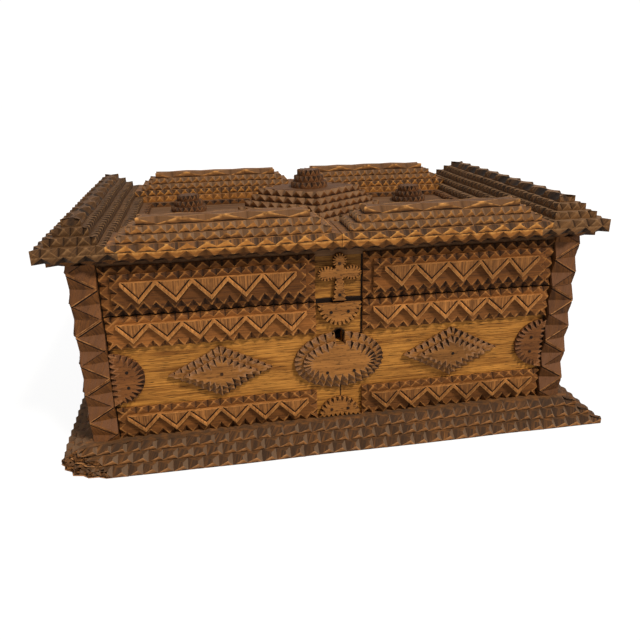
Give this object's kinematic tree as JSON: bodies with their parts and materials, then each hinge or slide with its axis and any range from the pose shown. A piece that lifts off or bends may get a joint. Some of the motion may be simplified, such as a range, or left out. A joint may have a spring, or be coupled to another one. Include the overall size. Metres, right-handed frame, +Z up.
{
  "type": "notch-carved layered wooden box with hinged lid",
  "caption": "Rectangular wooden keepsake box built from stacked, edge-notched layers, with a stepped base, carved front ornaments, a hinged stepped lid and a lock.",
  "frame": {"origin": "centre of the underside of the base, on the table", "axes": "+X to the right along the front, +Y from the front to the back, +Z up"},
  "size_m": [0.3438, 0.2478, 0.155],
  "materials": {
    "wood_base": "worn, dusty",
    "wood_panel": "old oil finish, fine dark grain",
    "wood_inside": "bare",
    "wood_field": "dusty, worn pale",
    "wood_post": "carved, old varnish",
    "wood_band": "carved, old varnish",
    "wood_rosette": "carved, old varnish",
    "wood_cornice": "carved, old varnish",
    "wood_side_ridge": "carved, dusty",
    "wood_end_ridge": "carved, old varnish",
    "wood_crown": "carved, dusty",
    "iron": "dark, old"
  },
  "bodies": {
    "box": {"base_lower": "wood_base", "base_middle": "wood_base", "base_upper": "wood_base", "front_wall": "wood_panel", "back_wall": "wood_panel", "left_wall": "wood_panel", "right_wall": "wood_panel", "bottom_board": "wood_inside", "front_corner_posts": "wood_post", "rear_corner_posts": "wood_post", "upper_band_backs": "wood_band", "upper_band_zigzags": "wood_band", "lower_band_backs": "wood_band", "lower_band_zigzags": "wood_band", "diamonds_lower": "wood_band", "diamonds_upper": "wood_band", "half_rosettes_sides": "wood_rosette", "half_rosette_top": "wood_rosette", "half_rosette_bottom": "wood_rosette", "oval_lower": "wood_rosette", "oval_upper": "wood_rosette", "lock_case": "iron", "hinge_leaves_body": "iron", "hinge_pins": "iron", "body_nails": "iron"},
    "lid": {"lid_front_wall": "wood_panel", "lid_back_wall": "wood_panel", "lid_left_wall": "wood_panel", "lid_right_wall": "wood_panel", "lid_board": "wood_field", "lid_front_corner_posts": "wood_post", "lid_rear_corner_posts": "wood_post", "lid_band_backs": "wood_band", "lid_band_mids": "wood_band", "lid_band_zigzags": "wood_band", "lid_cross": "wood_rosette", "cornice": "wood_cornice", "eave_lower_ends": "wood_cornice", "eave_upper_ends": "wood_cornice", "eave_lower_sides": "wood_side_ridge", "eave_upper_sides": "wood_side_ridge", "side_ridge_step_1": "wood_side_ridge", "side_ridge_step_2": "wood_side_ridge", "side_ridge_top": "wood_side_ridge", "end_ridge_step_1": "wood_end_ridge", "end_ridge_step_2": "wood_end_ridge", "end_ridge_top": "wood_end_ridge", "crown_1": "wood_crown", "crown_2": "wood_crown", "crown_3": "wood_crown", "crown_4": "wood_crown", "crown_5": "wood_crown", "buttons_large": "wood_crown", "buttons_medium": "wood_crown", "buttons_small": "wood_crown", "lid_nails": "iron", "hinge_leaves_lid": "iron", "strike_plate": "iron"},
    "bolt": {"lock_bolt": "iron"}
  },
  "joints": [
    {"name": "lid_hinge", "type": "hinge", "parent": "box", "child": "lid", "pos_m": [0, 0.102, 0.091], "axis": [-1, 0, 0], "range_deg": [0, 100]},
    {"name": "lock_slide", "type": "slide", "parent": "box", "child": "bolt", "axis": [0, 0, 1], "range_m": [0, 0.005]}
  ]
}
